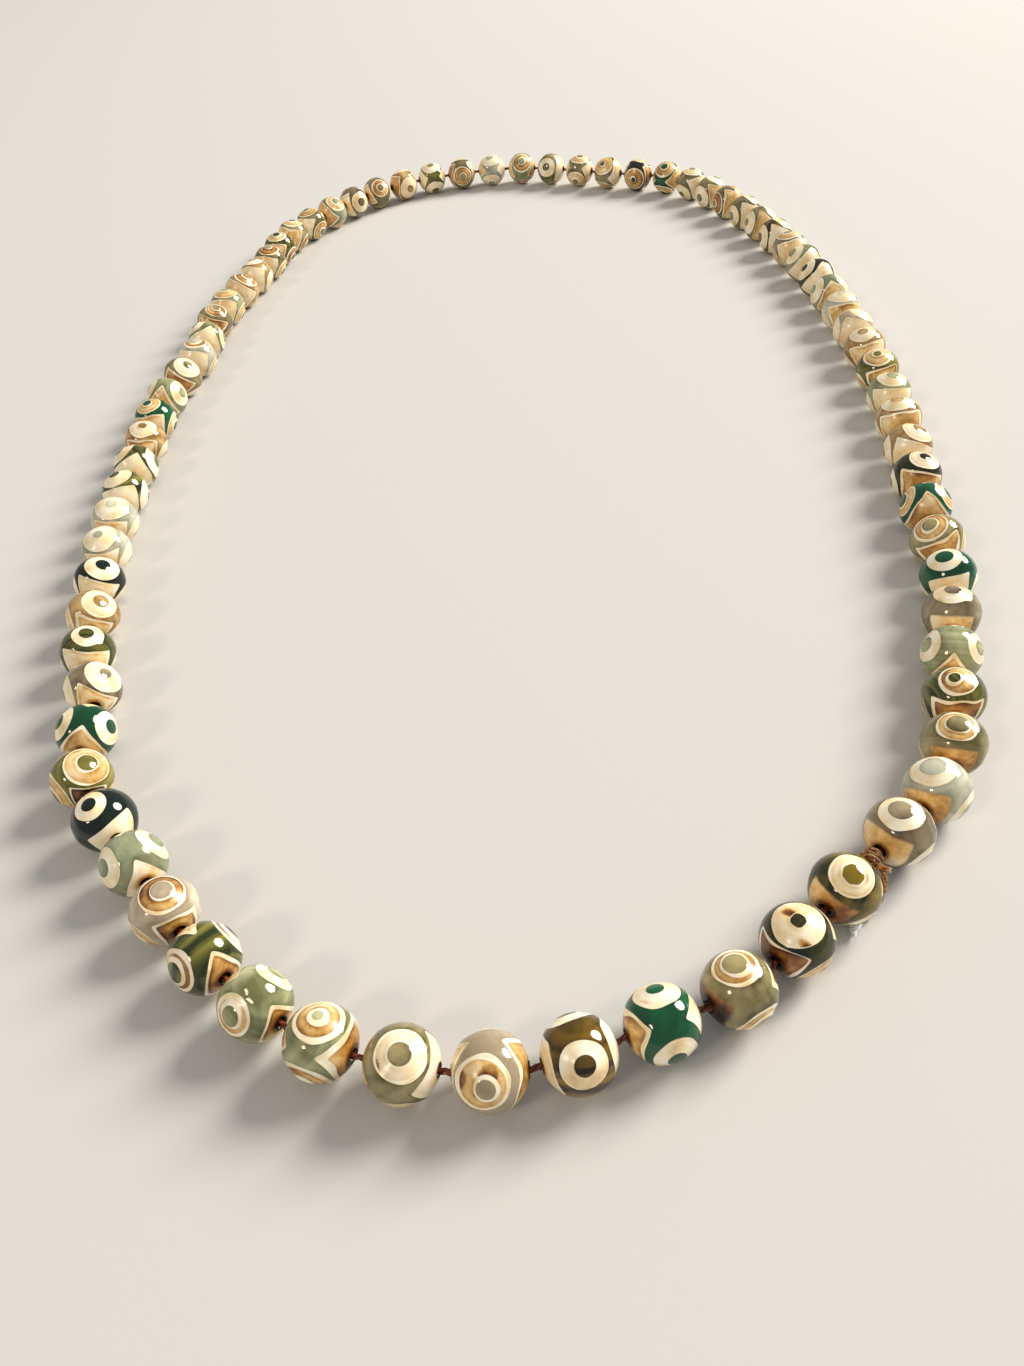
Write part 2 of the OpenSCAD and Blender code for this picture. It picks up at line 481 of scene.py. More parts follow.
@dataclass(frozen=True)
class StudioPaper:
    """Pale matt background paper, so that the beads alone carry the colour."""

    colour: str = "#c9c9c8"
    # Paper's grain is about 0.2 mm, drawn coarser: nine grains in a centimetre
    grains_per_mm: float = 0.9
    grain_depth_mm: float = 0.1
    grain_strength: float = 0.05
    # Uncoated paper has hardly any gloss
    roughness: float = 0.85
    specular: float = 0.2

    def build(self) -> bpy.types.Material:
        """Builds the finish.

        Returns:
            The table's material.
        """
        # Uncoated paper scatters light evenly, so the eye gets a pale table with soft shadows
        # and no reflection.
        material, tree, shader = new_material("studio_paper", {
            "Base Color": linear(self.colour), "Roughness": self.roughness,
            "Specular IOR Level": self.specular})
        place = add_node(tree, "TexCoord").outputs["Object"]
        grain = add_node(tree, "TexNoise", values={
            "Scale": self.grains_per_mm / MM, "Detail": 2.0}, links={"Vector": place})
        bump = add_node(tree, "Bump", values={
            "Strength": self.grain_strength, "Distance": self.grain_depth_mm * MM},
            links={"Height": grain.outputs["Fac"]})
        tree.links.new(bump.outputs["Normal"], shader.inputs["Normal"])
        return material


@dataclass(frozen=True)
class BeadLook:
    """How one bead was dyed, etched and stained, and how it lies on the thread.

    Angles are in degrees. What is said of the caps comes in pairs: the cap at the hole's start
    and the one at its finish.

    Attributes:
        stone: the colour of its ground.
        roll: turn of the first eye.
        lean: rise of the eyes.
        eye_stains: how brown each eye is, from 0 to 1.
        cap_stains: how brown each cap is, from 0 to 1.
        bulges: how far behind the eyes the arcs of the caps' sides are centred. More makes
            them straighter.
        edges: how far the caps' sides keep from the eyes' middles.
        eye: radius of an eye.
        pupil: radius of the ground that shows in an eye's middle.
        rim: width in millimetres of the cream rim round a stain.
        soft: whether each cap fades into the ground and has no rim.
        spots: how brown the small spots in the eyes are, from 0 to 1.
        eye_turns: turn of each eye from its even place.
        pupil_shift: turn and rise of the pupils from the eyes' middles.
        pupil_corners: corners of a pupil that was cut by straight strokes, 0 for a round one.
        pupil_glow: how much lighter the ground is in the pupils.
        shade: how much darker the ground is elsewhere.
        nicks: short etched strokes: the turn and rise of the middle, and the slant.
    """

    stone: Stone
    roll: float
    lean: float = 0.0
    eye_stains: tuple[float, float, float] = (0.0, 0.0, 0.0)
    cap_stains: tuple[float, float] = (0.3, 0.3)
    bulges: tuple[float, float] = (30.0, 30.0)
    edges: tuple[float, float] = (46.0, 46.0)
    eye: float = 38.0
    pupil: float = 16.0
    rim: float = 0.3
    soft: tuple[bool, bool] = (False, False)
    spots: float = 0.0
    eye_turns: tuple[float, float, float] = (0.0, 0.0, 0.0)
    pupil_shift: tuple[float, float] = (0.0, 0.0)
    pupil_corners: int = 0
    pupil_glow: float = 0.0
    shade: float = 0.0
    nicks: tuple[tuple[float, float, float], ...] = ()


@dataclass(frozen=True)
class BeadPlace:
    """Where a bead sits: its middle and the way of its hole along the thread, in metres."""

    middle: np.ndarray
    way: np.ndarray
    radius: float

    @property
    def axes(self) -> np.ndarray:
        """The bead's own axes as columns: up, the loop's outer side, and the hole's way."""
        return np.stack([UP, np.cross(self.way, UP), self.way], axis=1)

    def mouth(self, end: int) -> np.ndarray:
        """Where the hole's axis leaves the bead, at its start (-1) or its finish (1)."""
        return self.middle + end * self.radius * self.way


@dataclass(frozen=True)
class StringRoute:
    """Reads the beads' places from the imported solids."""

    node: str = "bead_string"
    # Corners beyond this share of a bead's radius lie on its ball, the others round its hole
    ball_share: float = 0.98

    def read(self) -> list[BeadPlace]:
        """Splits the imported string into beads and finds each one's middle and hole.

        Returns:
            The places, anticlockwise from the bead after the knot.
        """
        bm = bmesh.new()
        bm.from_mesh(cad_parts[self.node].data)
        bmesh.ops.remove_doubles(bm, verts=bm.verts, dist=SAME_POINT)
        found: list[BeadPlace] = []
        left = set(bm.verts)
        while left:
            bead = self.joined_to(left.pop())
            left -= bead
            found.append(self.measure(np.array(sorted(tuple(v.co) for v in bead))))
        bm.free()
        found.sort(key=lambda p: math.atan2(p.middle[1], p.middle[0]))
        gaps = [np.linalg.norm(found[i].middle - found[i - 1].middle) for i in range(len(found))]
        after_knot = int(np.argmax(gaps))
        ordered = found[after_knot:] + found[:after_knot]
        return [self.along(ordered, i) for i in range(len(ordered))]

    @staticmethod
    def joined_to(start: bmesh.types.BMVert) -> set[bmesh.types.BMVert]:
        """Gathers one bead's vertices.

        Args:
            start: any vertex of the bead.

        Returns:
            All vertices that edges join to it.
        """
        seen = {start}
        waiting = [start]
        while waiting:
            for edge in waiting.pop().link_edges:
                for vert in edge.verts:
                    if vert not in seen:
                        seen.add(vert)
                        waiting.append(vert)
        return seen

    def measure(self, points: np.ndarray) -> BeadPlace:
        """Finds one bead's middle and hole.

        A ball is fitted to the outer points. The hole's rims are the points nearest the middle.

        Args:
            points: the bead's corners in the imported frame.

        Returns:
            The bead's place, resting on the table.
        """
        middle = (points.max(axis=0) + points.min(axis=0)) / 2.0
        reach = np.linalg.norm(points - middle, axis=1)
        on_ball = points[reach > self.ball_share * reach.max()]
        fit = np.linalg.lstsq(np.c_[2.0 * on_ball, np.ones(len(on_ball))],
                              (on_ball ** 2).sum(axis=1), rcond=None)[0]
        middle = fit[:3]
        radius = math.sqrt(fit[3] + middle @ middle)
        reach = np.linalg.norm(points - middle, axis=1)
        rims = (points - middle)[reach < self.ball_share * radius]
        side = rims[rims @ rims[0] > 0.0].mean(axis=0)
        side[2] = 0.0
        middle[2] = radius
        return BeadPlace(middle, side / np.linalg.norm(side), radius)

    @staticmethod
    def along(ordered: list[BeadPlace], i: int) -> BeadPlace:
        """Turns a bead's hole the way that the string runs.

        Args:
            ordered: the places round the loop.
            i: the bead's number.

        Returns:
            The same place, with the way from the bead's start to its finish.
        """
        here = ordered[i]
        step = ordered[(i + 1) % len(ordered)].middle - ordered[i - 1].middle
        return BeadPlace(here.middle, here.way * math.copysign(1.0, here.way @ step), here.radius)


@dataclass
class LaidMarks:
    """The marks laid so far over a bead, for each direction from its middle.

    Attributes:
        depth: degrees inside the edge of a mark, negative on the ground.
        rim: width in millimetres of the cream rim there.
        stain: how brown the mark is there.
        crisp: how sharp the mark's edge is there, 1 for a clean one.
    """

    depth: np.ndarray
    rim: np.ndarray
    stain: np.ndarray
    crisp: np.ndarray

    def lay(self, mark: np.ndarray, stain: np.ndarray | float) -> np.ndarray:
        """Lays one more mark where it reaches deeper than those before.

        Args:
            mark: degrees inside the new mark's edge.
            stain: how brown it is.

        Returns:
            Where it was laid.
        """
        inside = mark > self.depth
        self.stain = np.where(inside, stain, self.stain)
        self.depth = np.maximum(self.depth, mark)
        return inside

    def fade(self, inside: np.ndarray, crisp: float, rim: float) -> None:
        """Softens the edge of the mark that was laid last, and its rim."""
        self.crisp = np.where(inside, crisp, self.crisp)
        self.rim = np.where(inside, rim, self.rim)


@dataclass
class EtchedBead:
    """One drilled bead with three eyes round its waist and a pointed cap round each hole.

    Angles are in degrees. Heights are shares of the radius along the hole.
    """

    bore_mm: float = 1.4
    mouth_mm: float = 1.8
    lip_mm: float = 0.08
    lip_steps: int = 2
    meridian_steps: int = 52
    waist_steps: int = 96

    eyes: int = 3
    # How far an eye may stray along the hole, and how much larger or smaller its pupil may be
    eye_drift: float = 2.0
    pupil_drift: float = 1.0
    # Least ground left between an eye and a cap, and the rounding of a cap's hollow corners
    band: float = 4.5
    corner_soft: float = 4.5
    # Half the length and half the width of a nick, and how far from its middle it may reach
    nick_half: tuple[float, float] = (4.0, 2.2)
    nick_reach: float = 30.0
    # How far a pupil's corners stand out, as a share of its radius over their number, and how
    # far past its edge it keeps its own ground colour
    pupil_corner_depth: float = 0.2
    pupil_edge: float = 2.0

    # A hand-drawn edge wavers by so much, in waves of so many radians over a radius
    waver: tuple[tuple[float, float], ...] = ((1.7, 3.5), (1.1, 8.0))
    pupil_waver: float = 0.7
    ring_waver: float = 0.6
    rim_waver_mm: float = 0.07
    # Waves of the patches and of the spots in which a stain takes, and where a spot shows
    patch_waves: float = 3.5
    spot_waves: float = 8.0
    stain_wave_count: int = 5
    spot_from: float = 0.55
    spot_full: float = 1.1
    # Stain that takes everywhere, in patches, and where it pools against a rim
    stain_even: float = 0.35
    stain_patchy: float = 0.5
    stain_pooled: float = 0.85
    pool_mm: float = 0.25
    # A cap is browner towards the hole, between these heights
    cap_even: float = 0.6
    cap_browner: float = 0.7
    cap_heights: tuple[float, float] = (0.5, 0.93)
    # A soft cap's edge has this share of a clean edge's steepness, and a rim below 0 is none
    soft_crisp: float = 0.16
    soft_rim_mm: float = -0.5
    # Painted shade: the ground is darkened along the marks' edges, as shade at the etched step
    edge_shade: float = 0.12
    edge_shade_mm: float = 0.25

    # The skin is what lies outside this share of the radius, the rest is the hole
    skin_share: float = 0.985
    # A stained cap is browner at the mouth, and the whole hole is near black-brown inside: painted
    # shade down the bore
    mouth_heights: tuple[float, float] = (0.925, 0.985)
    mouth_stain: float = 0.4
    stained_from: float = 0.05
    hole_shade: float = 0.95
    hole_depth_mm: float = 1.0
    # Depth of an etched mark and of its stain, and the width of the slopes down to them
    etch_mm: float = 0.09
    etch_slope_mm: float = 0.25
    stain_etch_mm: float = 0.06
    stain_slope_mm: float = 0.2
    uneven_mm: float = 0.015
    uneven_waves: float = 9.0
    # Agate's layers bend by so much, and a bead is cut from anywhere in so much stone
    layer_bend_mm: float = 0.5
    layer_waves: float = 3.0
    rough_stone_mm: float = 40.0

    def blank(self, radius: float) -> bpy.types.Mesh:
        """Turns the plain drilled bead, its hole along Z, in metres about its middle.

        Args:
            radius: the bead's radius in metres.

        Returns:
            The mesh that every bead starts from.
        """
        bore = self.bore_mm * MM / 2.0
        mouth = self.mouth_mm * MM / 2.0
        rise = math.asin(mouth / radius)
        mouth_z = radius * math.cos(rise)
        inner_z = mouth_z - (mouth - bore)
        bm = bmesh.new()
        start = bm.verts.new((mouth, 0.0, mouth_z))
        arc = bmesh.ops.spin(bm, geom=[start], cent=(0.0, 0.0, 0.0), axis=(0.0, 1.0, 0.0),
                             angle=math.pi - 2.0 * rise, steps=self.meridian_steps)
        finish = next(g for g in arc["geom_last"] if isinstance(g, bmesh.types.BMVert))
        top = bmesh.ops.extrude_vert_indiv(bm, verts=[start])["verts"][0]
        top.co = (bore, 0.0, inner_z)
        foot = bmesh.ops.extrude_vert_indiv(bm, verts=[finish])["verts"][0]
        foot.co = (bore, 0.0, -inner_z)
        bm.edges.new((top, foot))
        bmesh.ops.spin(bm, geom=bm.verts[:] + bm.edges[:], cent=(0.0, 0.0, 0.0),
                       axis=(0.0, 0.0, 1.0), angle=2.0 * math.pi, steps=self.waist_steps,
                       use_merge=True)
        bmesh.ops.remove_doubles(bm, verts=bm.verts, dist=SAME_POINT)
        lips = [e for e in bm.edges
                if all(abs(v.co.xy.length - mouth) < SAME_HEIGHT for v in e.verts)
                and abs(e.verts[0].co.z - e.verts[1].co.z) < SAME_HEIGHT]
        bmesh.ops.bevel(bm, geom=lips, offset=self.lip_mm * MM, affect="EDGES",
                        segments=self.lip_steps, profile=0.5, material=-1)
        bmesh.ops.recalc_face_normals(bm, faces=bm.faces)
        mesh = bpy.data.meshes.new("bead_blank")
        bm.to_mesh(mesh)
        bm.free()
        return mesh

    def marks(self, look: BeadLook, ways: np.ndarray, radius_mm: float,
              rng: np.random.Generator) -> tuple[np.ndarray, ...]:
        """Lays out the etched pattern over the ball.

        Args:
            look: the bead's look.
            ways: directions from the bead's middle, in its own axes.
            radius_mm: the bead's radius.
            rng: the bead's source of chance.

        Returns:
            Mark depth, stain depth, stain, ring, and glow less the painted edge shade, of each
            direction, as EtchedPattern gives them.
        """
        hand = sum(size * ripple(rng, ways, waves) for size, waves in self.waver)
        patch = 0.5 + 0.5 * ripple(rng, ways, self.patch_waves, self.stain_wave_count)
        spots = look.spots * smooth_step(
            self.spot_from, self.spot_full,
            ripple(rng, ways, self.spot_waves, self.stain_wave_count))
        laid = LaidMarks(depth=np.full(len(ways), -HALF_TURN), rim=np.full(len(ways), look.rim),
                         stain=np.zeros(len(ways)), crisp=np.ones(len(ways)))
        nearest = np.full(len(ways), HALF_TURN)
        glow = np.full(len(ways), -look.shade)
        middles = []
        for k in range(self.eyes):
            turn = math.radians(look.roll + look.eye_turns[k] + 360.0 / self.eyes * k)
            rise = math.radians(look.lean + rng.uniform(-self.eye_drift, self.eye_drift))
            middles.append((turn, rise))
            away = self.angle_from(ways, turn, rise)
            nearest = np.minimum(nearest, away + self.ring_waver * hand)
            pupil = (look.pupil + rng.uniform(-self.pupil_drift, self.pupil_drift)
                     + self.pupil_waver * hand)
            past_pupil = self.past_pupil(ways, turn, rise, look, pupil)
            glow = np.where(past_pupil < self.pupil_edge, look.pupil_glow, glow)
            laid.lay(np.minimum(look.eye + hand - away, past_pupil), look.eye_stains[k] + spots)
        at_hole = smooth_step(*self.cap_heights, np.abs(ways[:, 2]))
        for side, end in enumerate((-1.0, 1.0)):
            edge = max(look.edges[side], look.eye + self.band)
            cap = self.cap(ways, middles, end, edge, look.bulges[side], hand)
            inside = laid.lay(cap, look.cap_stains[side] * (
                self.cap_even + self.cap_browner * at_hole))
            if look.soft[side]:
                laid.fade(inside, self.soft_crisp, self.soft_rim_mm)
        for nick in look.nicks:
            laid.lay(self.nick(ways, *nick), 0.0)
        depth = np.radians(laid.depth) * radius_mm
        # Painted shade: the ground darkens along the marks' edges
        glow -= self.edge_shade * np.exp(np.minimum(depth, 0.0) / self.edge_shade_mm)
        pooled = np.exp(-np.maximum(depth - laid.rim, 0.0) / self.pool_mm)
        stain = laid.stain * (self.stain_even + self.stain_patchy * patch
                              + self.stain_pooled * pooled * (laid.rim > 0.0))
        return (depth * laid.crisp, depth - laid.rim - self.rim_waver_mm * hand,
                np.clip(stain, 0.0, 1.0), np.radians(nearest) * radius_mm, glow)

    @staticmethod
    def angle_from(ways: np.ndarray, turn: float, rise: float) -> np.ndarray:
        """Measures the angle of each direction from a point on the bead.

        Args:
            ways: directions from the bead's middle.
            turn: the point's turn about the hole, in radians.
            rise: its rise along the hole, in radians.

        Returns:
            The angles in degrees.
        """
        point = np.array([math.cos(turn) * math.cos(rise), math.sin(turn) * math.cos(rise),
                          math.sin(rise)])
        return np.degrees(np.arccos(np.clip(ways @ point, -1.0, 1.0)))

    @staticmethod
    def spread_from(ways: np.ndarray, turn: float, rise: float) -> tuple[np.ndarray, np.ndarray]:
        """Measures how far each direction lies from a point on the bead, in two senses.

        Args:
            ways: directions from the bead's middle.
            turn: the point's turn about the hole, in radians.
            rise: its rise along the hole, in radians.

        Returns:
            Degrees along the hole, and degrees round it.
        """
        across = np.array([-math.sin(turn), math.cos(turn), 0.0])
        along = np.array([-math.cos(turn) * math.sin(rise), -math.sin(turn) * math.sin(rise),
                          math.cos(rise)])
        return np.degrees(ways @ along), np.degrees(ways @ across)

    def past_pupil(self, ways: np.ndarray, turn: float, rise: float, look: BeadLook,
                   pupil: np.ndarray) -> np.ndarray:
        """Measures how far each direction lies outside an eye's pupil.

        Args:
            ways: directions from the bead's middle.
            turn: turn of the eye's middle, in radians.
            rise: rise of the eye's middle, in radians.
            look: the bead's look.
            pupil: the pupil's radius towards each direction.

        Returns:
            Degrees outside the pupil's edge, negative inside it.
        """
        turn += math.radians(look.pupil_shift[0])
        rise += math.radians(look.pupil_shift[1])
        if look.pupil_corners:
            along, across = self.spread_from(ways, turn, rise)
            corners = np.cos(np.arctan2(along, across) * look.pupil_corners)
            pupil = pupil * (1.0 - self.pupil_corner_depth / look.pupil_corners * corners)
        return self.angle_from(ways, turn, rise) - pupil

    def cap(self, ways: np.ndarray, middles: list[tuple[float, float]], end: float, edge: float,
            bulge: float, hand: np.ndarray) -> np.ndarray:
        """Lays out the pointed cap round one mouth, with a hollow side towards each eye.

        Args:
            ways: directions from the bead's middle.
            middles: turn and rise of each eye's middle, in radians.
            end: -1 for the hole's start, 1 for its finish.
            edge: how far the sides keep from the eyes' middles.
            bulge: how far behind an eye its side's arc is centred.
            hand: how much the drawn edge wavers.

        Returns:
            Degrees inside the cap's edge, negative outside it.
        """
        cap = np.full(len(ways), HALF_TURN)
        for turn, rise in middles:
            centre = rise - end * math.radians(bulge)
            cap = self.soft_least(cap, self.angle_from(ways, turn, centre) - edge - bulge - hand)
        return cap

    def nick(self, ways: np.ndarray, turn: float, rise: float, slant: float) -> np.ndarray:
        """Lays out one short stroke with round ends.

        Args:
            ways: directions from the bead's middle.
            turn: turn of the stroke's middle.
            rise: rise of the stroke's middle.
            slant: angle of the stroke to the hole.

        Returns:
            Degrees inside the stroke's edge, negative outside it.
        """
        turn, rise, slant = math.radians(turn), math.radians(rise), math.radians(slant)
        along, across = self.spread_from(ways, turn, rise)
        past_end = np.abs(along * math.cos(slant) + across * math.sin(slant)) - self.nick_half[0]
        aside = across * math.cos(slant) - along * math.sin(slant)
        away = np.hypot(np.maximum(past_end, 0.0), aside)
        return np.where(self.angle_from(ways, turn, rise) < self.nick_reach,
                        self.nick_half[1] - away, -self.nick_reach)

    def soft_least(self, a: np.ndarray, b: np.ndarray) -> np.ndarray:
        """The lesser of two depths, with the corner between them rounded."""
        near = np.clip(1.0 - np.abs(a - b) / self.corner_soft, 0.0, 1.0)
        return np.minimum(a, b) - near * near * self.corner_soft / 4.0

    def dress(self, mesh: bpy.types.Mesh, look: BeadLook, place: BeadPlace, seed: int) -> None:
        """Etches a copy of the blank and sets it on the thread.

        Args:
            mesh: the copy of the blank.
            look: the bead's look.
            place: where it sits.
            seed: the bead's own seed.
        """
        rng = np.random.default_rng(seed)
        points = corners_of(mesh)
        reach = np.linalg.norm(points, axis=1)
        skin = reach > self.skin_share * place.radius
        ways = points / reach[:, None]
        depth, inner, stain, ring, glow = self.marks(look, ways, place.radius / MM, rng)
        depth = np.where(skin, depth, self.hole_depth_mm)
        inner = np.where(skin, inner, self.hole_depth_mm)
        at_mouth = smooth_step(*self.mouth_heights, np.abs(ways[:, 2])) * (stain > self.stained_from)
        # The hole's inside takes the darkest brown, as painted shade
        stain = np.where(skin, np.clip(stain + self.mouth_stain * at_mouth, 0.0, 1.0),
                         self.hole_shade)
        cut = smooth_step(0.0, self.etch_slope_mm, depth)
        stain_cut = smooth_step(0.0, self.stain_slope_mm, inner)
        sink = (self.etch_mm * cut + self.stain_etch_mm * stain * stain_cut
                + self.uneven_mm * cut * ripple(rng, ways, self.uneven_waves))
        sink = np.where(skin, np.maximum(sink, 0.0), 0.0)
        layer_way = rng.normal(size=3)
        layer = (points @ layer_way) / np.linalg.norm(layer_way) / MM
        layer += (self.layer_bend_mm * ripple(rng, ways, self.layer_waves)
                  + rng.uniform(0.0, self.rough_stone_mm))
        points = (points - ways * sink[:, None] * MM) @ place.axes.T + place.middle
        mesh.vertices.foreach_set("co", points.ravel())
        pattern = EtchedPattern(depth, inner, stain, layer, ring, glow)
        for name, values in vars(pattern).items():
            store(mesh, name, values)
        mesh.update()


@dataclass
class BeadString:
    """All the beads, each with its own look, in order round the loop."""

    bead: EtchedBead = field(default_factory=EtchedBead)
    seed: int = 20
    stained_share: float = 0.4
    slot: str = "etched_agate"
    node: str = "bead_string"

    def known_looks(self) -> dict[int, BeadLook]:
        """Gives the looks of the beads that the near part of the loop shows plainly.

        Returns:
            Each look by the bead's place on the string, counted from 0 after the knot.
        """
        s = Stone
        return {
            0: BeadLook(s.BROWN_GREY, -6, -4, cap_stains=(0.45, 0.1), bulges=(40, 40),
                        pupil=20, soft=(True, False), pupil_glow=0.12),
            1: BeadLook(s.GREY_JADE, -18, -2, cap_stains=(0.6, 0.2), bulges=(50, 40),
                        edges=(50, 46), eye=40, pupil=22, soft=(True, False)),
            2: BeadLook(s.GREY_OLIVE, -4, -6, (0.3, 0, 0.3), (0.62, 0.2), (40, 30), (50, 46),
                        36, 19, 0.2, (True, False)),
            3: BeadLook(s.OLIVE, -2, -6, (0.4, 0.4, 0.4), (0.6, 0.3), eye=36, pupil=10,
                        pupil_shift=(-8, 0)),
            4: BeadLook(s.JADE, 55, -10, cap_stains=(0.2, 0.1), eye=34, edges=(54, 50)),
            5: BeadLook(s.BROWN_GREY, -8, 10, (0, 0.3, 0), (0.35, 0.2), edges=(66, 50),
                        eye=40, pupil=17, soft=(True, False)),
            6: BeadLook(s.TEAL, -19, -5, cap_stains=(0.05, 0.1), bulges=(40, 28), eye=38,
                        pupil=20, edges=(50, 46)),
            7: BeadLook(s.OLIVE_JADE, -30, -6, (0.4, 0.3, 0.4), (0.42, 0.5), eye=40),
            8: BeadLook(s.TEAL, 50, 0, (0.25, 0, 0.2), (0.4, 0.2), bulges=(26, 26)),
            9: BeadLook(s.DARK_OLIVE, 10, 0, (0.1, 0.4, 0), (0.5, 0.3), bulges=(30, 26)),
            10: BeadLook(s.HONEY, 20, 0, (0.1, 0.1, 0), (0.1, 0.1), eye=42),
            11: BeadLook(s.HONEY, -10, 6, (0.0, 0.1, 0), (0.45, 0.1), eye=42),
            12: BeadLook(s.JADE, 0, 0, (0.1, 0.1, 0), (0.1, 0.1), eye=40),
            56: BeadLook(s.GREY_JADE, -10, 8, cap_stains=(0.12, 0.15), eye=44, pupil=12),
            57: BeadLook(s.GREY_JADE, 0, 12, cap_stains=(0.2, 0.1), eye=44, pupil=12),
            58: BeadLook(s.DARK_TEAL, -27, 8, cap_stains=(0.2, 0.15), eye=42),
            59: BeadLook(s.HONEY, -37, 12, (0, 0.2, 0), (0.2, 0.25), eye=40),
            60: BeadLook(s.OLIVE, -16, 4, (0, 0.1, 0), (0.2, 0.15), eye=35, pupil=18),
            61: BeadLook(s.BROWN_GREY, -44, 12, cap_stains=(0.1, 0.2), bulges=(32, 30), eye=42,
                         pupil=11),
            62: BeadLook(s.TEAL, 42, 6, cap_stains=(0.1, 0.32), bulges=(28, 34),
                         pupil_glow=-0.25, shade=0.25),
            63: BeadLook(s.MOSS, -27, 16, (0.3, 0.35, 0.3), (0.4, 0.7), (30, 34), eye=45,
                         pupil=18, rim=0.22),
            64: BeadLook(s.DARK_TEAL, 12, 2, cap_stains=(0.1, 0.06), bulges=(26, 36),
                         edges=(50, 54), eye=32, pupil=15, eye_turns=(0, 0, -15)),
            65: BeadLook(s.SEA_JADE, 56, 3, (0, 0.05, 0), (0.05, 0.06), (26, 38), (48, 56),
                         37, rim=0.5, eye_turns=(0, 0, 1)),
            66: BeadLook(s.SMOKE, -9, 7, (0.5, 0.3, 0.55), (0.3, 0.72), (34, 40), (46, 51),
                         eye=41, pupil=18, rim=0.22),
            67: BeadLook(s.OLIVE, 65, 3, (0.55, 0.4, 0.4), (0.6, 0.4), (26, 42), (50, 57),
                         pupil=17, rim=0.48, spots=0.2, eye_turns=(0, 0, -22)),
            68: BeadLook(s.JADE, 54, 4, (0.22, 0.2, 0.04), (0.3, 0.4), (22, 38), (51, 57),
                         eye=34, rim=0.4, eye_turns=(0, 0, 6),
                         nicks=((8, 9, 30), (15, 22, 10))),
            69: BeadLook(s.JADE, -14, 0, (0.45, 0.4, 0.5), (0.3, 0.5), (30, 24),
                         (52, 48), eye=42, pupil=7, rim=0.55, spots=0.25, pupil_glow=0.12),
            70: BeadLook(s.GREY_OLIVE, 11, 8, (0.12, 0.2, 0.1), (0.3, 0.03), (28, 30),
                         (62, 46), eye=40, pupil=17.5, rim=0.22, soft=(True, False),
                         spots=0.7, pupil_glow=0.08),
            71: BeadLook(s.SMOKE, 47, -10, (0.22, 0.3, 0.1), (0.25, 0.4), (32, 24), (47, 58),
                         eye=43, pupil=16, rim=0.45, spots=0.4, eye_turns=(0, 10, -15),
                         pupil_shift=(5, 6), pupil_glow=-0.06, shade=0.2),
            72: BeadLook(s.AMBER, 44, -1, (0, 0.1, 0), (0.16, 0.02), (60, 70), (47, 46),
                         eye=37, pupil=16.5, eye_turns=(0, 0, 12), pupil_glow=-0.06),
            73: BeadLook(s.TEAL, -32, 0, (0, 0, 0.05), (0.35, 0.02), (36, 26), (51, 50),
                         eye=37.5, pupil=14.5, rim=0.5, eye_turns=(0, 5, 0), spots=0.15),
            74: BeadLook(s.OLIVE_JADE, -14, -2, (0.36, 0.3, 0.4), (0.95, 0.6), (46, 32),
                         (56, 50), eye=38, pupil=19, rim=0.4, soft=(True, False),
                         pupil_glow=0.15),
            75: BeadLook(s.DARK_OLIVE, -1, -6, (0.08, 0.3, 0), (0.6, 0.1), (32, 28), (48, 48),
                         eye=43, pupil=13, rim=0.18, spots=0.6, pupil_corners=4),
            76: BeadLook(s.GOLD_OLIVE, 12, -9, (0.13, 0, 0), (0.58, 0.4), edges=(49, 49), eye=39,
                         pupil=17, soft=(True, False), spots=0.2, pupil_corners=7,
                         pupil_glow=0.3),
        }

    def chance_look(self, rng: np.random.Generator) -> BeadLook:
        """Draws a look for a bead that is too far off to make out.

        Args:
            rng: the string's source of chance.

        Returns:
            A look of the same kind as the near beads have, mostly cream, tan and pale.
        """
        stone = rng.choice(list(Stone), p=[stone.far_share for stone in Stone])
        stained = rng.random() < self.stained_share
        palest, brownest = (0.2, 0.5) if stained else (0.0, 0.12)
        return BeadLook(
            stone, roll=rng.uniform(0.0, 120.0), lean=rng.uniform(-10.0, 10.0),
            eye_stains=tuple(rng.uniform(palest, brownest, 3)),
            cap_stains=tuple(rng.uniform(0.03, 0.5, 2)),
            bulges=tuple(rng.uniform(24.0, 42.0, 2)), eye=rng.uniform(37.0, 44.0),
            pupil=rng.uniform(11.0, 17.0))

    def build(self, places: list[BeadPlace]) -> list[bpy.types.Object]:
        """Etches and threads every bead.

        Args:
            places: the beads' places, in order.

        Returns:
            The beads.
        """
        finishes = {stone: EtchedAgate(stone).build() for stone in Stone}
        blank = self.bead.blank(places[0].radius)
        known = self.known_looks()
        rng = np.random.default_rng(self.seed)
        beads = []
        for i, place in enumerate(places):
            by_chance = self.chance_look(rng)
            look = known.get(i, by_chance)
            mesh = blank.copy()
            mesh.name = f"bead_{i + 1:02d}"
            self.bead.dress(mesh, look, place, self.seed + i)
            bead = link_piece(mesh.name, mesh, finishes[look.stone])
            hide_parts(self.node)
            beads.append(bead)
        bpy.data.meshes.remove(blank)
        return beads


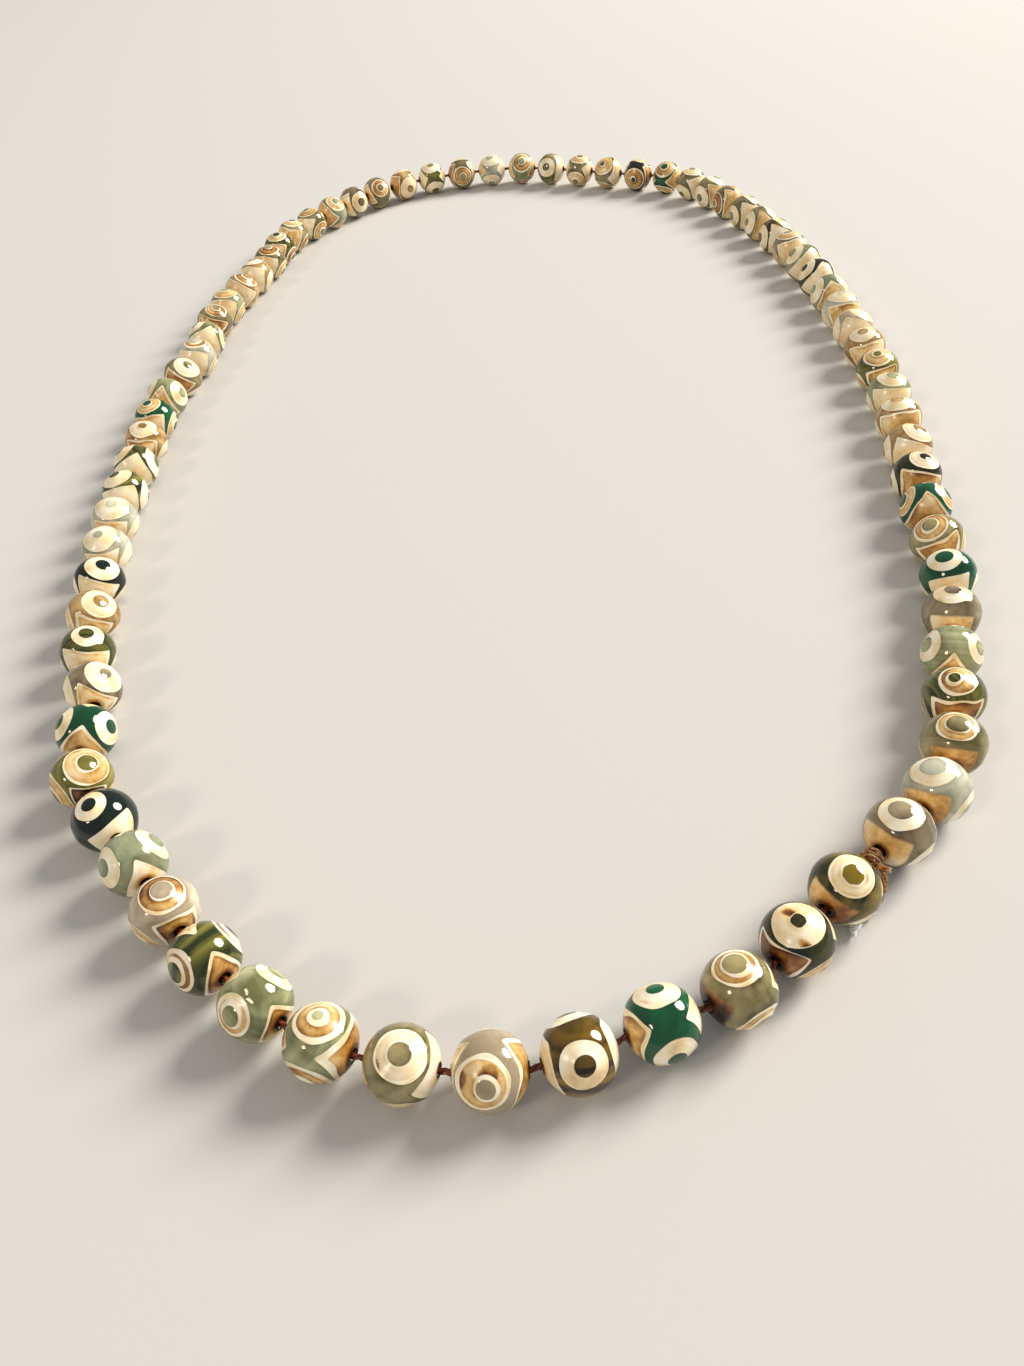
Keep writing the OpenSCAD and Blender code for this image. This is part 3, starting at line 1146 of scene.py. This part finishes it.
def tube_mesh(name: str, paths: list[np.ndarray], radius: float, closed: bool,
              taper: np.ndarray | None = None) -> bpy.types.Mesh:
    """Makes round strands along paths.

    Args:
        name: the mesh's name.
        paths: points of each strand's middle line, in metres.
        radius: a strand's radius in metres.
        closed: whether each strand ends where it starts.
        taper: share of the radius at each point, the same for every strand.

    Returns:
        The strands as one mesh, whose ends are closed.
    """
    curve = bpy.data.curves.new(name, "CURVE")
    curve.dimensions = "3D"
    curve.bevel_depth = radius
    curve.bevel_resolution = 2
    curve.use_fill_caps = True
    for path in paths:
        spline = curve.splines.new("POLY")
        spline.points.add(len(path) - 1)
        spline.points.foreach_set("co", np.c_[path, np.ones(len(path))].ravel())
        if taper is not None:
            spline.points.foreach_set("radius", taper)
        spline.use_cyclic_u = closed
    holder = bpy.data.objects.new(name, curve)
    mesh = bpy.data.meshes.new_from_object(holder)
    mesh.name = name
    bpy.data.objects.remove(holder)
    bpy.data.curves.remove(curve)
    bm = bmesh.new()
    bm.from_mesh(mesh)
    bmesh.ops.remove_doubles(bm, verts=bm.verts, dist=SAME_POINT)
    bm.to_mesh(mesh)
    bm.free()
    return mesh


def set_frayed(mesh: bpy.types.Mesh, tips: list[tuple[np.ndarray, float]]) -> None:
    """Marks how frayed a thread is at each vertex.

    Args:
        mesh: the thread's mesh.
        tips: each frayed tip and how far the fraying reaches from it, in metres.
    """
    points = corners_of(mesh)
    frayed = np.zeros(len(points))
    for tip, reach in tips:
        away = np.linalg.norm(points - tip, axis=1)
        frayed = np.maximum(frayed, 1.0 - smooth_step(FRAYED_THROUGH * reach, reach, away))
    store(mesh, "frayed", frayed)


@dataclass(frozen=True)
class Twist:
    """How the thread is twisted from its strands."""

    diameter_mm: float = 0.8
    strands: int = 3
    pitch_mm: float = 3.0

    @property
    def strand(self) -> float:
        """Radius in metres of strands that touch each other and fill the thread's round."""
        spread = math.sin(math.pi / self.strands)
        return self.diameter_mm * MM / 2.0 * spread / (1.0 + spread)

    def lay(self, line: np.ndarray, closed: bool,
            taper: np.ndarray | None = None) -> tuple[list[np.ndarray], float]:
        """Winds the strands round a line.

        Args:
            line: points of the thread's middle line, in metres.
            closed: whether the thread ends where it starts, after a whole number of twists.
            taper: share of the thread's diameter at each point.

        Returns:
            Points of each strand's middle line, and the thread's length in metres.
        """
        if closed:
            ahead = np.roll(line, -1, axis=0) - np.roll(line, 1, axis=0)
            steps = np.linalg.norm(np.diff(line, axis=0, append=line[:1]), axis=1)
        else:
            ahead = np.gradient(line, axis=0)
            steps = np.linalg.norm(np.diff(line, axis=0), axis=1)
        ahead /= np.linalg.norm(ahead, axis=1)[:, None]
        run = np.concatenate([[0.0], np.cumsum(steps)])
        length = float(run[-1])
        twists = length / (self.pitch_mm * MM)
        if closed:
            twists = round(twists)
        # The normal is carried along the line, so the strands never turn back on themselves
        normal = UP
        normals = []
        for way in ahead:
            normal = normal - (normal @ way) * way
            normal = normal / np.linalg.norm(normal)
            normals.append(normal)
        normals = np.array(normals)
        sides = np.cross(ahead, normals)
        out = self.diameter_mm * MM / 2.0 - self.strand
        out = out * (np.ones(len(line)) if taper is None else taper)[:, None]
        paths = []
        for k in range(self.strands):
            angle = 2.0 * math.pi * (twists * run[:len(line)] / length + k / self.strands)
            paths.append(line + out * (np.cos(angle)[:, None] * sides
                                       + np.sin(angle)[:, None] * normals))
        return paths, length


@dataclass
class Thread:
    """The one thread through all the beads: three strands twisted round each other."""

    twist: Twist = field(default_factory=Twist)
    step_mm: float = 0.6
    slot: str = "nylon_thread"
    node: str = "thread"

    def middle_line(self, places: list[BeadPlace]) -> np.ndarray:
        """Lays the thread's middle, which runs straight through each bead.

        Args:
            places: the beads' places, in order.

        Returns:
            Points along the whole loop.
        """
        corners = [place.mouth(end) for place in places for end in (-1, 1)]
        line = []
        for start, finish in zip(corners, corners[1:] + corners[:1]):
            steps = max(1, round(float(np.linalg.norm(finish - start)) / (self.step_mm * MM)))
            line += [start + (finish - start) * k / steps for k in range(steps)]
        return np.array(line)

    def build(self, places: list[BeadPlace]) -> list[bpy.types.Object]:
        """Twists the strands along the loop.

        Args:
            places: the beads' places, in order.

        Returns:
            The thread, as the only piece.
        """
        paths, length = self.twist.lay(self.middle_line(places), closed=True)
        mesh = tube_mesh("waxed_thread", paths, self.twist.strand, closed=True)
        set_frayed(mesh, [])
        finish = NylonThread("twisted_nylon", "#42160a", "#8c4116").build()
        piece = link_piece("waxed_thread", mesh, finish)
        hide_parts(self.node)
        log.info("the thread is %.0f mm long", length / MM)
        return [piece]


@dataclass
class ClosingKnot:
    """Three turns of the thread round itself, with a short end and a long end.

    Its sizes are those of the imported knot. Angles are in degrees.
    """

    twist: Twist = field(default_factory=Twist)
    turns: int = 3
    turn_steps: int = 40
    # The turns bite into each other, so a turn steps on by this share of the diameter
    step_share: float = 0.6
    play_mm: float = 0.1
    lean: float = 12.0
    short_mm: float = 1.9
    short_rise: float = 20.0
    short_steps: int = 9
    long_steps: int = 39
    sweep: float = 120.0
    end_play_mm: float = 0.2
    close_share: float = 0.35
    down_share: float = 0.6
    # The long end narrows to this share where its fibres leave it
    tip_share: float = 0.5
    long_frayed_mm: float = 2.4
    short_frayed_mm: float = 0.5
    # A fibre of 0.03 mm would not show, so each one stands for a few that cling together
    fibre_mm: float = 0.11
    fibre_count: int = 30
    fibre_frayed_mm: float = 9.0
    # Rings of the long end that fray, rings that a fibre goes on past it, and the first few
    # rings from one of which it starts
    frayed_rings: int = 10
    fibre_past: tuple[int, ...] = (1, 2, 3)
    start_rings: int = 4
    # How far off the middle line a fibre starts, and how far out and up its tip stands
    fibre_off_mm: float = 0.3
    fan_mm: float = 0.6
    fan_spread_mm: float = 0.45
    fan_down_mm: float = -0.1
    fan_up_mm: float = 0.8
    fibre_floor_mm: float = 0.07
    seed: int = 5
    slot: str = "knotted_thread"
    node: str = "closing_knot"

    def build(self, places: list[BeadPlace]) -> list[bpy.types.Object]:
        """Ties the knot between the last bead and the first.

        Args:
            places: the beads' places, in order.

        Returns:
            The knot with its two ends, and the fibres of the long one.
        """
        last, first = places[-1], places[0]
        start, finish = last.mouth(1), first.mouth(-1)
        middle = (start + finish) / 2.0
        way = (finish - start) / np.linalg.norm(finish - start)
        axes = np.stack([way, -np.cross(way, UP), UP], axis=1)
        tail = self.long_end(last, middle)
        path = np.concatenate([
            (self.short_end()[::-1] @ axes.T) + middle, (self.winding() @ axes.T) + middle,
            tail])
        taper = np.ones(len(path))
        taper[-self.frayed_rings:] = np.linspace(1.0, self.tip_share, self.frayed_rings)
        paths, _ = self.twist.lay(path, closed=False, taper=taper)
        mesh = tube_mesh("closing_knot_tied", paths, self.twist.strand, closed=False,
                         taper=taper)
        set_frayed(mesh, [(tail[-1], self.long_frayed_mm * MM),
                          (path[0], self.short_frayed_mm * MM)])
        glassy = NylonThread("knotted_nylon", "#96551c", "#efc98e", clear=0.6,
                             rough=0.06).build()
        knot = link_piece("closing_knot_tied", mesh, glassy)
        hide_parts(self.node)
        fibres = tube_mesh("frayed_end", self.fibres(tail, last), self.fibre_mm * MM / 2.0,
                           closed=False)
        set_frayed(fibres, [(tail[-1], self.fibre_frayed_mm * MM)])
        matt = NylonThread("frayed_nylon", "#efe8da", "#ffffff", rough=0.5,
                           tip="#ffffff").build()
        return [knot, link_piece("frayed_end", fibres, matt)]

    def fibres(self, tail: np.ndarray, last: BeadPlace) -> list[np.ndarray]:
        """Fans fine fibres out of the long end's last part.

        Args:
            tail: points of the long end's middle line.
            last: the bead that it lies against.

        Returns:
            Points of each fibre, just clear of the table and the bead.
        """
        rng = np.random.default_rng(self.seed)
        ahead = tail[-1] - tail[-2]
        base = np.concatenate([tail[-self.frayed_rings:],
                               tail[-1] + np.outer(self.fibre_past, ahead)])
        side = np.array([-ahead[1], ahead[0], 0.0]) / np.linalg.norm(ahead[:2])
        share = np.linspace(0.0, 1.0, len(base))[:, None]
        reach = last.radius + self.end_play_mm * MM / 2.0
        off = self.fibre_off_mm
        paths = []
        for _ in range(self.fibre_count):
            first = rng.integers(0, self.start_rings)
            start = side * rng.uniform(-off, off) + UP * rng.uniform(-off, off)
            fan = (side * rng.normal(self.fan_mm, self.fan_spread_mm)
                   + UP * rng.uniform(self.fan_down_mm, self.fan_up_mm))
            path = base + (start + share ** 2 * fan) * MM
            out = path - last.middle
            out *= np.maximum(1.0, reach / np.linalg.norm(out, axis=1))[:, None]
            path = last.middle + out
            path[:, 2] = np.maximum(path[:, 2], self.fibre_floor_mm * MM)
            paths.append(path[first:])
        return paths

    @property
    def turn_radius(self) -> float:
        """Distance from the thread's axis to the middle of a turn, in metres."""
        return (self.twist.diameter_mm + self.play_mm) * MM

    @property
    def turn_step(self) -> float:
        """Distance along the thread from one turn to the next, in metres."""
        return self.step_share * self.twist.diameter_mm * MM

    def winding(self) -> np.ndarray:
        """Winds the turns round the thread, which runs along X here.

        Returns:
            Points along the turns, each of which leans the other way than the one before.
        """
        points = []
        for k in range(self.turn_steps * self.turns + 1):
            t = k / self.turn_steps
            angle = 2.0 * math.pi * t - math.pi / 2.0
            along = (t - self.turns / 2.0) * self.turn_step
            swing = math.sin(math.radians(self.lean)) * self.turn_radius * math.cos(math.pi * t)
            points.append((along + swing * math.cos(angle), self.turn_radius * math.sin(angle),
                           self.turn_radius * math.cos(angle)))
        return np.array(points)

    def short_end(self) -> np.ndarray:
        """Leads the short end out of the knot on the loop's outer side and slightly up.

        Returns:
            Points from the knot to the tip, with the thread along X.
        """
        rise = math.radians(self.short_rise)
        x = -self.turns / 2.0 * self.turn_step
        reach = np.linspace(self.turn_radius, self.turn_radius + self.short_mm * MM,
                            self.short_steps + 1)
        return np.array([(x, -r * math.cos(rise), r * math.sin(rise)) for r in reach[1:]])

    def long_end(self, last: BeadPlace, middle: np.ndarray) -> np.ndarray:
        """Leads the long end round the last bead's outer side down to the table.

        Args:
            last: the last bead's place.
            middle: the knot's middle.

        Returns:
            Points from the knot to the tip.
        """
        radius = last.radius
        thread_radius = self.twist.diameter_mm * MM / 2.0
        offset = middle - last.middle
        first_reach = float(np.linalg.norm(offset))
        last_reach = radius + thread_radius + self.end_play_mm * MM
        knot_angle = math.atan2(offset[1], offset[0])
        first_angle = math.asin(self.turn_radius / first_reach)
        points = []
        for t in np.linspace(0.0, 1.0, self.long_steps + 1):
            near = float(smooth_step(0.0, self.close_share, np.array(t)))
            drop = (radius - thread_radius) * float(smooth_step(0.0, self.down_share, np.array(t)))
            reach = first_reach + (last_reach - first_reach) * near
            out = math.sqrt(reach * reach - drop * drop)
            angle = knot_angle - first_angle - t * (math.radians(self.sweep) - first_angle)
            points.append(last.middle + np.array([out * math.cos(angle), out * math.sin(angle),
                                                  -drop]))
        return np.array(points)


@dataclass(frozen=True)
class SoftLamp:
    """One soft round lamp that looks at the loop.

    Attributes:
        name: the lamp's name.
        way: direction from the loop's middle to the lamp.
        size_m: its diameter.
        watts: its power.
        colour: its sRGB hex colour.
        away_m: how far from the loop's middle it hangs.
    """

    name: str
    way: tuple[float, float, float]
    size_m: float
    watts: float
    colour: str
    away_m: float = 2.6

    def hang(self) -> bpy.types.Object:
        """Hangs the lamp.

        Returns:
            The lamp.
        """
        data = bpy.data.lights.new(self.name, "AREA")
        data.shape = "DISK"
        data.size = self.size_m
        data.energy = self.watts
        data.color = linear(self.colour)[:3]
        lamp = bpy.data.objects.new(self.name, data)
        out = Vector(self.way).normalized()
        lamp.location = out * self.away_m
        lamp.rotation_euler = out.to_track_quat("Z", "Y").to_euler()
        bpy.context.scene.collection.objects.link(lamp)
        return lamp


@dataclass(frozen=True)
class Studio:
    """A pale table, soft light and the camera at the picture's angle."""

    table_m: float = 6.0
    camera_mm: tuple[float, float, float] = (-5.834, -184.511, 99.717)
    tilt: float = 43.109
    roll: float = 6.089
    focal_mm: float = 27.04
    film_mm: float = 36.0
    nearest_seen_mm: float = 5.0
    # A large warm window to the right and behind, and a smaller room lamp from the near left
    lamps: tuple[SoftLamp, ...] = (
        SoftLamp("window_light", (0.745, 0.37, 0.55), 1.3, 112.0, "#fff6ea"),
        SoftLamp("room_light", (-0.62, -0.5, 0.62), 0.5, 15.0, "#ffe9cc"))
    sky: str = "#d6d6d6"
    sky_strength: float = 0.58

    def table(self) -> bpy.types.Object:
        """Lays the table's top at the height that the beads rest on.

        Returns:
            The table's top.
        """
        bm = bmesh.new()
        bmesh.ops.create_grid(bm, x_segments=1, y_segments=1, size=self.table_m / 2.0)
        mesh = bpy.data.meshes.new("studio_table")
        bm.to_mesh(mesh)
        bm.free()
        mesh.materials.append(StudioPaper().build())
        top = bpy.data.objects.new("studio_table", mesh)
        bpy.context.scene.collection.objects.link(top)
        return top

    def camera(self) -> bpy.types.Object:
        """Sets the camera where the picture was taken from.

        Returns:
            The scene's camera.
        """
        tilt, roll = math.radians(self.tilt), math.radians(self.roll)
        ahead = Vector((0.0, math.cos(tilt), -math.sin(tilt)))
        down = Vector((0.0, -math.sin(tilt), -math.cos(tilt)))
        right = Vector((1.0, 0.0, 0.0))
        image_x = math.cos(roll) * right + math.sin(roll) * down
        image_up = math.sin(roll) * right - math.cos(roll) * down
        data = bpy.data.cameras.new("picture_camera")
        data.lens = self.focal_mm
        data.sensor_width = self.film_mm
        data.clip_start = self.nearest_seen_mm * MM
        camera = bpy.data.objects.new("picture_camera", data)
        turn = Matrix((image_x, image_up, -ahead)).transposed().to_4x4()
        camera.matrix_world = Matrix.Translation(Vector(self.camera_mm) * MM) @ turn
        bpy.context.scene.collection.objects.link(camera)
        bpy.context.scene.camera = camera
        return camera

    def build(self) -> None:
        """Sets up table, camera, lamps and the room's even light."""
        self.table()
        self.camera()
        for lamp in self.lamps:
            lamp.hang()
        world = bpy.data.worlds.new("studio_room")
        world.use_nodes = True
        background = world.node_tree.nodes["Background"]
        background.inputs["Color"].default_value = linear(self.sky)
        background.inputs["Strength"].default_value = self.sky_strength
        bpy.context.scene.world = world
        bpy.context.scene.view_settings.view_transform = "Standard"


def main() -> None:
    """Builds the necklace in order and reports each piece."""
    logging.basicConfig(level=logging.INFO, format="%(name)s: %(message)s")
    Studio().build()
    places = StringRoute().read()
    for maker in (BeadString(), Thread(), ClosingKnot()):
        for piece in maker.build(places):
            log.info("%s has %d faces", piece.name, len(piece.data.polygons))


if __name__ == "__main__":
    main()
